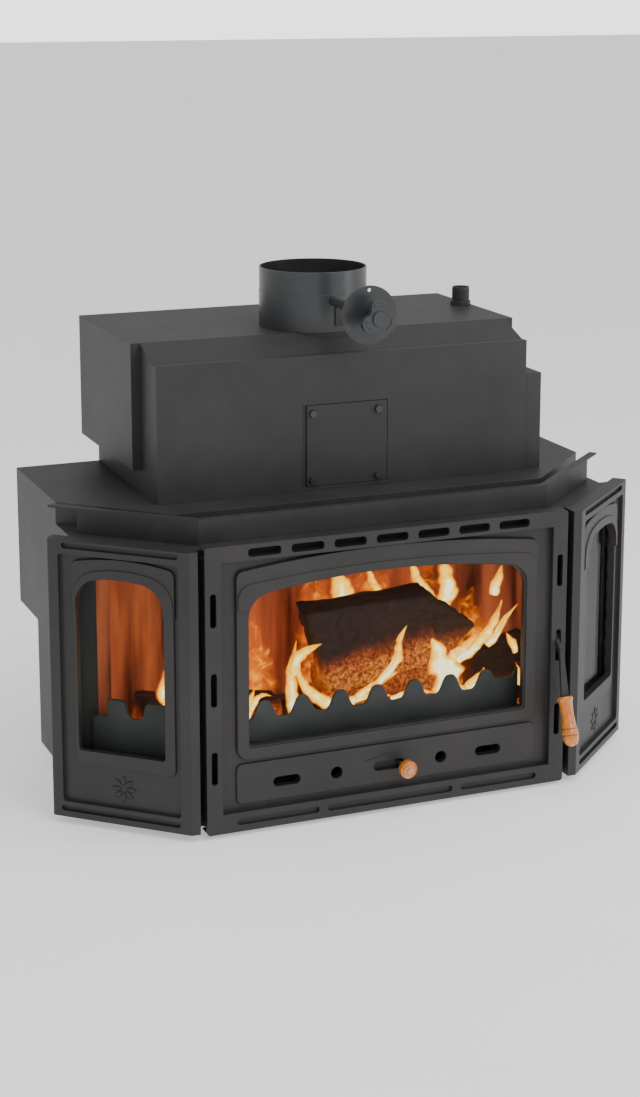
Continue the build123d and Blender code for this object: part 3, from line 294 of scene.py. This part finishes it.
def flame_material():
    """Wood flame: pale yellow heart, orange skin in 26 mm licks, clear at its edges and tip."""
    material, tree, shader = new_material("wood_flame")
    place = add(tree, "ShaderNodeTexCoord").outputs["Object"]
    heat = add(tree, "ShaderNodeAttribute", {"attribute_name": "fire_heat"}).outputs["Fac"]
    lick = add(tree, "ShaderNodeTexNoise", None,
               {"Vector": place, "Scale": size_mm(26), "Detail": 3.0, "Distortion": 1.2})
    warmth = add(tree, "ShaderNodeMath", {"operation": "MULTIPLY_ADD"},
                 {0: lick.outputs["Fac"], 1: 1.1, 2: heat}).outputs[0]
    warmth = add(tree, "ShaderNodeMath", {"operation": "SUBTRACT"}, {0: warmth, 1: 0.6}).outputs[0]
    glow = add(tree, "ShaderNodeValToRGB",
               {"stops": ((0.0, "#701c02"), (0.3, "#d86008"), (0.58, "#ffac14"),
                          (0.88, "#ffd850"), (1.15 / 1.2, "#fff6c8"))},
               {"Fac": warmth})
    alpha = add(tree, "ShaderNodeMapRange", {"interpolation_type": "SMOOTHSTEP"},
                {"Value": warmth, "From Min": 0.02, "From Max": 0.75,
                 "To Min": 0.0, "To Max": 0.92})
    set_inputs(shader, {"Base Color": linear("#000000"), "Roughness": 1.0,
                        "Specular IOR Level": 0.0, "Emission Color": glow.outputs["Color"],
                        "Emission Strength": 2.2, "Alpha": alpha.outputs["Result"]})
    return material


firebrick = brick_material()
amber_beech = wood_material("amber_varnished_beech", "#f08c14", "#b85c06")
burnt_beech = wood_material("burnt_ring_in_beech", "#5a2008", "#3a1204")
charred_wood = charred_material()
flame_glow = flame_material()

finishes = {
    "steel_paint": stove_paint,
    "cast_paint": cast_paint,
    "raw_cast": bare_iron,
    "fire_glass": glass_material(),
    "seal_rope": rope_material(),
    "firebrick": firebrick,
    "varnished_wood": amber_beech,
    "bright_steel": steel_material(),
}
for row in frame["record"]["subparts"]:
    mesh = nodes[row["node"]].data
    mesh.materials.clear()
    mesh.materials.append(finishes[row["material_slot"]])
for name in ("flue_collar", "damper_knob", "escutcheon", "damper_rod", "hatch_screws"):
    nodes[name].data.materials[0] = collar_paint


# Pieces

def piece(name, mesh, material, body):
    """Show a mesh in its material, as a piece that moves with its body."""
    mesh.materials.append(material)
    obj = bpy.data.objects.new(name, mesh)
    bpy.context.scene.collection.objects.link(obj)
    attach(obj, body)
    return obj


def skin(rings, heat=None, smooth=True):
    """Closed mesh over rings of points; heat(point, ring, place in it) is kept for the fire."""
    count = len(rings[0])
    last = (len(rings) - 1) * count
    verts = [p for ring in rings for p in ring]
    faces = [(i + j, i + (j + 1) % count, i + count + (j + 1) % count, i + count + j)
             for i in range(0, last, count) for j in range(count)]
    faces.append(tuple(reversed(range(count))))
    faces.append(tuple(range(last, last + count)))
    mesh = bpy.data.meshes.new("skin")
    mesh.from_pydata(verts, [], faces)
    if heat:
        layer = mesh.attributes.new("fire_heat", "FLOAT", "POINT")
        layer.data.foreach_set("value", [heat(p, *divmod(i, count)) for i, p in enumerate(verts)])
    for polygon in mesh.polygons:
        polygon.use_smooth = smooth
    working = bmesh.new()
    working.from_mesh(mesh)
    bmesh.ops.recalc_face_normals(working, faces=working.faces)
    working.to_mesh(mesh)
    working.free()
    return mesh


def smooth_line(points, count):
    """So many points, evenly spread, on a smooth line through the given points."""
    line = []
    for i in range(count):
        t = i / (count - 1) * (len(points) - 1)
        k = min(int(t), len(points) - 2)
        f = t - k
        before, start, end = points[max(k - 1, 0)], points[k], points[k + 1]
        after = points[min(k + 2, len(points) - 1)]
        line.append(0.5 * (2 * start + (end - before) * f
                           + (2 * before - 5 * start + 4 * end - after) * f ** 2
                           + (3 * start - before - 3 * end + after) * f ** 3))
    return line


FLAME_STEPS = 30
FLAME_SIDES = 12


def flame(name, points, widths, hot=1.15, thick=10):
    """Flame tongue: a lens-shaped ribbon along its line, with wavy edges.

    The length of its name picks its stretch of the noise, so that neighbours don't wave alike.
    """
    line = smooth_line([spot(*p) for p in points], FLAME_STEPS)
    spread = smooth_line([Vector((w, 0, 0)) for w in widths], FLAME_STEPS)
    last, stretch = FLAME_STEPS - 1, len(name)
    rings = []
    for i, centre in enumerate(line):
        ahead = (line[min(i + 1, last)] - line[max(i - 1, 0)]).normalized()
        across = Vector((ahead.z, 0, -ahead.x)).normalized()
        half = max(spread[i].x, 0.4) * MM / 2
        depth = min(thick * MM, half * 1.2) / 2
        # The whole tongue wavers over about 33 mm, and each edge is torn over about 13 mm
        waver = noise.noise(centre * 30 + Vector((stretch, 0, 0))) * 0.35 * half
        left = 1 + 0.45 * noise.noise(centre * 75 + Vector((0, stretch * 3.1, 0)))
        right = 1 + 0.45 * noise.noise(centre * 75 + Vector((0, 40 + stretch * 3.1, 0)))
        ring = []
        for j in range(FLAME_SIDES):
            turn = 2 * math.pi * j / FLAME_SIDES
            reach = half * math.cos(turn) * (right if math.cos(turn) > 0 else left)
            ring.append(centre + across * (reach + waver) + Vector((0, depth * math.sin(turn), 0)))
        rings.append(ring)

    def heart(p, i, j):
        """Hottest along the middle of the ribbon, cooler towards its edges and tip."""
        edge = abs(math.cos(2 * math.pi * j / FLAME_SIDES))
        return hot * (1 - edge ** 2.2) * (1 - 0.55 * (i / last) ** 1.5)

    return piece(name, skin(rings, heat=heart), flame_glow, "body")


def split_log(name, corners, back, lift, seed, heat, along=34, up=22, thick=8):
    """Split log: four corners of its front face, how far it reaches back and rises, torn fibres."""
    top_left, top_right, low_right, low_left = [spot(*c) for c in corners]
    away = Vector((0, back * MM, lift * MM))
    rings = []
    for i in range(along + 1):
        top = top_left.lerp(top_right, i / along)
        low = low_left.lerp(low_right, i / along)
        outline = [low, top, top + away * 0.75, low + away]
        ring = []
        for side, steps in enumerate((up, thick, up, thick)):
            start, end = outline[side], outline[(side + 1) % 4]
            for j in range(steps):
                p = start.lerp(end, j / steps)
                # Fibres run along the log: slow over 71 mm along it, quick over 17 mm across
                jag = noise.fractal(Vector((p.x * 14, p.y * 60, p.z * 60)) + Vector((seed, 0, 0)),
                                    0.9, 2.1, 4)
                ring.append(p + Vector((0.2 * jag, -jag, 0.9 * jag)) * 6.5 * MM)
        rings.append(ring)
    return piece(name, skin(rings, heat=lambda p, i, j: heat(p)), charred_wood,
                 "body")


def embers_below(height, fade, most, flicker=0.0):
    """Heat that grows below this height, over a fade in metres, up to the most; 25 mm flicker."""
    return lambda p: max(0.0, min(most, (height(p) - p.z) / fade + flicker * noise.noise(p * 40)))


# The fire: a large charred log leaning over a glowing one, and flames around both
split_log("upper_log", [(-95, 172, 328), (150, 172, 338), (172, 176, 206), (-38, 176, 164)],
          70, 10, 3, embers_below(lambda p: 0.243 + (p.x + 0.06) * 0.17, 0.035, 1.25, 0.25))
split_log("upper_log_end", [(150, 172, 338), (255, 186, 262), (228, 190, 236), (165, 180, 236)],
          66, 6, 9, embers_below(lambda p: 0.262, 0.03, 0.8), 16, 14)
split_log("glowing_log", [(-40, 196, 200), (220, 190, 236), (236, 192, 130), (-30, 196, 112)],
          110, 0, 5, lambda p: 0.9 + 0.4 * noise.noise(p * 30))
split_log("left_log", [(-380, 262, 176), (-120, 240, 150), (-112, 242, 112), (-380, 262, 112)],
          60, 0, 12, embers_below(lambda p: 0.15, 0.02, 1.0))
split_log("right_log", [(262, 196, 196), (392, 226, 214), (396, 226, 140), (258, 196, 118)],
          70, 0, 15, embers_below(lambda p: 0.15, 0.03, 1.0))

# Each flame: the depth of its line behind the door's face, (x, height) points from foot to tip,
# and its widths there
flames = {
    "flame_left_stem": (150, [(-50, 150), (-92, 186), (-120, 228), (-122, 262)], [34, 26, 16, 2]),
    "flame_left_curl": (152, [(-124, 224), (-118, 254), (-95, 268), (-72, 276)], [20, 26, 16, 2]),
    "flame_left_side": (160, [(-120, 140), (-128, 190), (-126, 236), (-118, 285)],
                        [26, 30, 20, 2]),
    "flame_low_left": (158, [(-222, 140), (-214, 165), (-206, 188), (-200, 206)], [22, 20, 12, 2]),
    "flame_low_left_tail": (156, [(-216, 150), (-200, 182), (-184, 192), (-168, 188)],
                            [14, 14, 9, 1]),
    "flame_behind_one": (262, [(10, 300), (12, 330), (4, 362), (-6, 400)], [62, 58, 36, 3]),
    "flame_behind_two": (262, [(118, 296), (92, 322), (74, 350), (62, 392)], [24, 22, 17, 2]),
    "flame_behind_three": (262, [(196, 284), (182, 318), (166, 350), (150, 384)],
                           [40, 34, 24, 2]),
    "flame_behind_four": (264, [(228, 280), (232, 316), (226, 352), (210, 396)], [44, 46, 32, 3]),
    "flame_heart": (150, [(190, 140), (180, 176), (170, 212), (148, 258)], [62, 72, 66, 8]),
    "flame_heart_right": (152, [(186, 206), (206, 226), (226, 240), (246, 262)], [26, 30, 22, 3]),
    "flame_right_arm": (148, [(196, 214), (240, 236), (272, 276), (290, 318)], [24, 26, 20, 2]),
    "flame_right_tip": (152, [(262, 232), (284, 252), (300, 280), (326, 306)], [20, 18, 12, 2]),
    "flame_right_spark": (150, [(322, 212), (316, 226), (308, 240), (300, 254)], [12, 18, 12, 1]),
    "flame_far_right": (150, [(334, 146), (333, 162), (328, 178), (322, 192)], [14, 18, 10, 1]),
    "flame_loose": (150, [(272, 330), (276, 346), (284, 366), (290, 386)], [18, 26, 18, 1]),
    "flame_middle": (148, [(24, 176), (58, 206), (78, 232), (80, 264), (96, 292)],
                     [14, 16, 22, 14, 1]),
    "flame_middle_foot": (150, [(-20, 150), (10, 174), (46, 190), (84, 206)], [12, 14, 14, 2]),
    "flame_floor_one": (150, [(-48, 152), (-10, 162), (30, 166), (66, 160)], [10, 16, 14, 2]),
    "flame_floor_two": (150, [(66, 154), (100, 160), (130, 160), (160, 152)], [8, 14, 12, 2]),
    "flame_floor_three": (150, [(220, 140), (236, 160), (250, 176), (256, 190)], [24, 26, 16, 2]),
    "flame_side_one": (250, [(-330, 150), (-338, 190), (-326, 236), (-334, 290)],
                       [40, 44, 30, 2]),
    "flame_side_two": (236, [(-300, 150), (-296, 200), (-306, 250), (-298, 330)],
                       [34, 36, 26, 2]),
}
hotter = {"flame_heart": 1.7}
for name, (depth, points, widths) in flames.items():
    flame(name, [(x, depth, z) for x, z in points], widths, hotter.get(name, 1.15))

# Broad faint flames in front of the back bricks: x, height of the foot, width and length
haze = ((-250, 120, 110, 120), (-150, 120, 120, 190), (-20, 150, 120, 260),
        (90, 150, 120, 270), (200, 150, 120, 270), (300, 130, 110, 170))
HAZE_DEPTH = 300
for i, (x, foot, width, height) in enumerate(haze):
    flame("haze_flame_%d" % i,
          [(x, HAZE_DEPTH, foot), (x + 8, HAZE_DEPTH, foot + height * 0.4),
           (x - 6, HAZE_DEPTH, foot + height * 0.75), (x + 4, HAZE_DEPTH, foot + height)],
          [width, width * 0.9, width * 0.6, 4], 0.42, 14)


def ember(name, centre, size, seed):
    """Lump of glowing charcoal: a ball of three radii, in millimetres, with an uneven surface."""
    working = bmesh.new()
    bmesh.ops.create_icosphere(working, subdivisions=2, radius=1)
    middle = spot(*centre)
    for vert in working.verts:
        bulge = 1 + 0.35 * noise.noise(vert.co * 1.7 + Vector((seed, 0, 0)))
        vert.co = middle + Vector([c * s for c, s in zip(vert.co, size)]) * bulge * MM
    mesh = bpy.data.meshes.new(name)
    working.to_mesh(mesh)
    working.free()
    layer = mesh.attributes.new("fire_heat", "FLOAT", "POINT")
    layer.data.foreach_set("value", [1.0 + 0.3 * noise.noise(v.co * 60) for v in mesh.vertices])
    return piece(name, mesh, charred_wood, "body")


# A bed of embers over the grate, one every 26.5 mm
shuffle = random.Random(7)
for i in range(26):
    ember("ember_%02d" % i,
          (-330 + 26.5 * i, 120 + shuffle.uniform(0, 90), 118 + shuffle.uniform(0, 8)),
          (shuffle.uniform(14, 24), shuffle.uniform(14, 24), shuffle.uniform(10, 20)), i)

# Scalloped log fence: rounded crests and wide round valleys, and a low shoulder at its right end
FENCE_LEFT, FENCE_RIGHT, FENCE_STEP = -252, 280, 2
FENCE_FOOT, FENCE_VALLEY, FENCE_RISE, FENCE_PITCH = 106, 185, 33, 72
SHOULDER_START, SHOULDER_SHARE = 216, 0.42


def fence_height(x):
    wave = 0.5 + 0.5 * math.cos(2 * math.pi * x / FENCE_PITCH)
    wave = (wave * wave * (3 - 2 * wave)) ** 1.4
    return FENCE_VALLEY + FENCE_RISE * (max(wave, SHOULDER_SHARE) if x > SHOULDER_START else wave)


def fence_section(x):
    """Plate 6 mm thick, with its two upper edges bevelled."""
    top = fence_height(x)
    return [spot(x, depth, z) for depth, z in (
        (60, FENCE_FOOT), (66, FENCE_FOOT), (66, top - 1.2), (65, top), (61, top), (60, top - 1.2))]


fence_rings = [fence_section(x) for x in range(FENCE_LEFT, FENCE_RIGHT + FENCE_STEP, FENCE_STEP)]
fence = piece("log_fence_front_cast", skin(fence_rings, smooth=False), bare_iron,
              "body")
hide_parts("log_fence_front")


def hoop(name, centre, axis, radius, half_width, rise, material, body, steps=48):
    """Closed band round an axis, domed by the rise and sunk 1 mm into what carries it."""
    axis = Vector(axis).normalized()
    first = axis.orthogonal().normalized()
    second = axis.cross(first)
    section = [(half_width * math.cos(math.pi * k / 4), radius + rise * math.sin(math.pi * k / 4))
               for k in range(5)]
    section += [(-half_width, radius - 1), (half_width, radius - 1)]
    count = len(section)
    verts = []
    for j in range(steps):
        turn = 2 * math.pi * j / steps
        out = first * math.cos(turn) + second * math.sin(turn)
        verts += [centre + axis * a * MM + out * r * MM for a, r in section]
    faces = [(j * count + k, j * count + (k + 1) % count,
              ((j + 1) % steps) * count + (k + 1) % count, ((j + 1) % steps) * count + k)
             for j in range(steps) for k in range(count)]
    mesh = bpy.data.meshes.new(name)
    mesh.from_pydata(verts, [], faces)
    for polygon in mesh.polygons:
        polygon.use_smooth = True
    return piece(name, mesh, material, body)


# Thread of the flow stub: one inch pipe thread, 11 turns to the inch
THREAD_PITCH = 2.3
for i in range(10):
    hoop("flow_thread_%02d" % i, spot(357, 480, 835 + THREAD_PITCH * i), (0, 0, 1), 16.6, 0.9, 0.7,
         stove_paint, "body")

# Two dark rings turned into the handle grip, at shares of its length from the top
GRIP_LENGTH = 90
grip_lean = math.radians(20.8)
grip_axis = Vector((0, -math.sin(grip_lean), -math.cos(grip_lean)))
grip_top = spot(329, -31.5, 182)
for label, share, radius in (("upper", 0.64, 14.0), ("lower", 0.77, 14.75)):
    hoop("grip_ring_" + label, grip_top + grip_axis * GRIP_LENGTH * share * MM, grip_axis,
         radius, 0.9, 0.35, burnt_beech, "handle")

# Raised wedge over the middle air slot that shows which way to slide the knob
wedge = [(-46, 99.5), (2, 103.5), (2, 108.5)]
wedge_rings = [[spot(x, depth, z) for x, z in wedge] for depth in (8.2, 7.0)]
piece("slide_wedge", skin(wedge_rings, smooth=False), cast_paint, "door")


def rosette(name, side):
    """Plain eight-petal rosette on the lower part of a side panel, raised 1.5 mm."""
    centre_out, centre_z = 132, 78
    face = 8
    root, petal_length, petal_half = 5, 19, 4.2
    petals, steps, sides = 8, 9, 10
    working = bmesh.new()
    for petal in range(petals):
        turn = 2 * math.pi * petal / petals
        rings = []
        for i in range(steps):
            t = i / (steps - 1)
            reach = root + petal_length * t
            half = 0.3 + petal_half * math.sin(math.pi * t) ** 0.8
            ring = []
            for j in range(sides):
                a = 2 * math.pi * j / sides
                across = half * math.cos(a)
                rise = 0.15 + max(0.0, math.sin(a)) * min(1.5, half * 0.6)
                u = reach * math.cos(turn) - across * math.sin(turn)
                v = reach * math.sin(turn) + across * math.cos(turn)
                ring.append(side_spot(centre_out + u, face - rise, centre_z + v, side))
            rings.append(ring)
        mesh = skin(rings)
        working.from_mesh(mesh)
        bpy.data.meshes.remove(mesh)
    mesh = bpy.data.meshes.new(name)
    working.to_mesh(mesh)
    working.free()
    for polygon in mesh.polygons:
        polygon.use_smooth = True
    return piece(name, mesh, cast_paint, "body")


rosette("rosette_left", -1)
rosette("rosette_right", 1)

# Three curved ribs on the damper knob, each an arc of 84 degrees round its lobe
RIB_STEPS, RIB_SIDES = 14, 8
knob_centre = spot(0, 62, 881)
for lobe in range(3):
    middle = math.pi / 2 + 2 * math.pi * lobe / 3
    hub = knob_centre + Vector((math.cos(middle), 0, math.sin(middle))) * 10 * MM
    rings = []
    for i in range(RIB_STEPS + 1):
        turn = middle + math.radians(-42 + 84 * i / RIB_STEPS)
        out = Vector((math.cos(turn), 0, math.sin(turn)))
        ring = []
        for j in range(RIB_SIDES):
            a = 2 * math.pi * j / RIB_SIDES
            ring.append(hub + out * (15 + 1.6 * math.cos(a)) * MM
                        + Vector((0, -(0.2 + 1.4 * math.sin(a)) * MM, 0)))
        rings.append(ring)
    piece("knob_rib_%d" % lobe, skin(rings), collar_paint, "damper")


# Pale floor and soft studio light

def floor_material():
    """Painted studio board: white and matte, with a faint mottle 400 mm across."""
    material, tree, shader = new_material("pale_studio_board")
    place = add(tree, "ShaderNodeTexCoord").outputs["Object"]
    mottle = add(tree, "ShaderNodeTexNoise", None,
                 {"Vector": place, "Scale": size_mm(400), "Detail": 3.0})
    colour = add(tree, "ShaderNodeValToRGB", {"stops": ((0.3, "#fafafa"), (0.8, "#ffffff"))},
                 {"Fac": mottle.outputs["Fac"]})
    set_inputs(shader, {"Base Color": colour.outputs["Color"], "Roughness": 0.9,
                        "Emission Color": linear("#ffffff"), "Emission Strength": 0.45})
    return material


FLOOR_REACH = 40
floor_mesh = bpy.data.meshes.new("floor")
floor_mesh.from_pydata([(x * FLOOR_REACH, y * FLOOR_REACH, 0)
                        for x, y in ((-1, -1), (1, -1), (1, 1), (-1, 1))], [], [(0, 1, 2, 3)])
floor_mesh.materials.append(floor_material())
floor = bpy.data.objects.new("floor", floor_mesh)
bpy.context.scene.collection.objects.link(floor)


def soft_box(name, place, aim, size, power):
    """Rectangular light, in metres and watts, turned towards its aim."""
    light = bpy.data.lights.new(name, "AREA")
    light.shape = "RECTANGLE"
    light.size, light.size_y = size
    light.energy = power
    obj = bpy.data.objects.new(name, light)
    obj.location = place
    obj.rotation_euler = (Vector(aim) - Vector(place)).to_track_quat("-Z", "Y").to_euler()
    bpy.context.scene.collection.objects.link(obj)


soft_box("key_light", (0.9, -3.6, 2.6), (0, 0, 0.5), (1.8, 1.4), 40)
soft_box("top_light", (0.2, -0.8, 3.4), (0, 0, 0.5), (2.4, 2.0), 34)
soft_box("right_strip", (2.6, -1.6, 1.4), (0, 0, 0.6), (0.4, 2.2), 16)

# White studio round it: bright behind the object, dimmer as a light, so that sheet stays dark
world = bpy.data.worlds.new("studio")
world.use_nodes = True
studio = world.node_tree
seen = add(studio, "ShaderNodeLightPath").outputs["Is Camera Ray"]
backdrop = add(studio, "ShaderNodeMapRange", None, {"Value": seen, "To Min": 0.64, "To Max": 2.4})
set_inputs(studio.nodes["Background"],
           {"Color": linear("#ffffff"), "Strength": backdrop.outputs["Result"]})
bpy.context.scene.world = world
